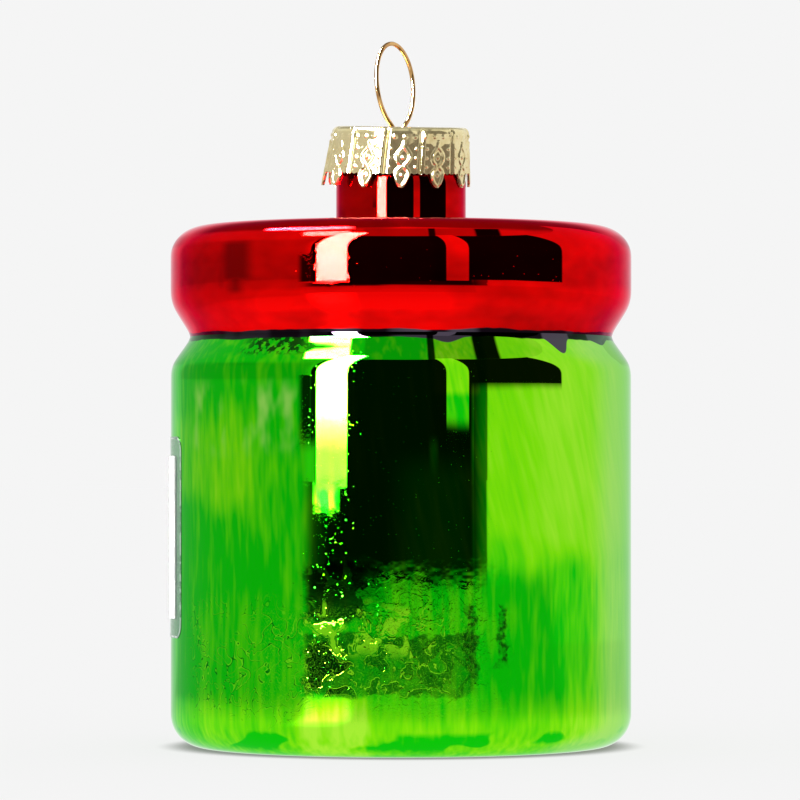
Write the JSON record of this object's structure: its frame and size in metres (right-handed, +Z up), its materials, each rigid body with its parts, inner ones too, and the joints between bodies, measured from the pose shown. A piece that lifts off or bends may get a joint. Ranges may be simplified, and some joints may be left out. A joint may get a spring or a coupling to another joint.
{
  "type": "pickle jar ornament",
  "caption": "Blown-glass hanging ornament shaped as a squat pickle jar with a flat lid, silvered inside, with a crimped metal cap and a wire loop.",
  "frame": {"origin": "centre of the flat base that the ornament stands on", "axes": "+Z up along the axis of the blown glass, -Y towards the pictured side, the label on the -X side towards the back"},
  "size_m": [0.0603, 0.0602, 0.092],
  "materials": {
    "clear_glass": "gloss",
    "silvering": "mirror",
    "green_lacquer": "gloss over mirror",
    "red_lacquer": "gloss over mirror",
    "clear_film": "gloss",
    "white_label": "satin",
    "gold_sheet": "gloss",
    "copper_wire": "gloss"
  },
  "bodies": {
    "vessel": {"glass_shell": "clear_glass", "mirror_lining": "silvering", "green_lacquer": "green_lacquer", "red_lacquer": "red_lacquer", "label_film": "clear_film", "label_panel": "white_label"},
    "crown_cap": {"cap": "gold_sheet"},
    "hanger": {"hanger_wire": "copper_wire"}
  },
  "joints": [
    {"name": "cap_pull", "type": "slide", "parent": "vessel", "child": "crown_cap", "axis": [0, 0, 1], "range_m": [0, 0.02]},
    {"name": "hanger_tilt", "type": "hinge", "parent": "crown_cap", "child": "hanger", "pos_m": [-0.0004, 0, 0.0808], "axis": [0.592, 0.8059, 0], "range_deg": [-10.1, 19.9]}
  ]
}
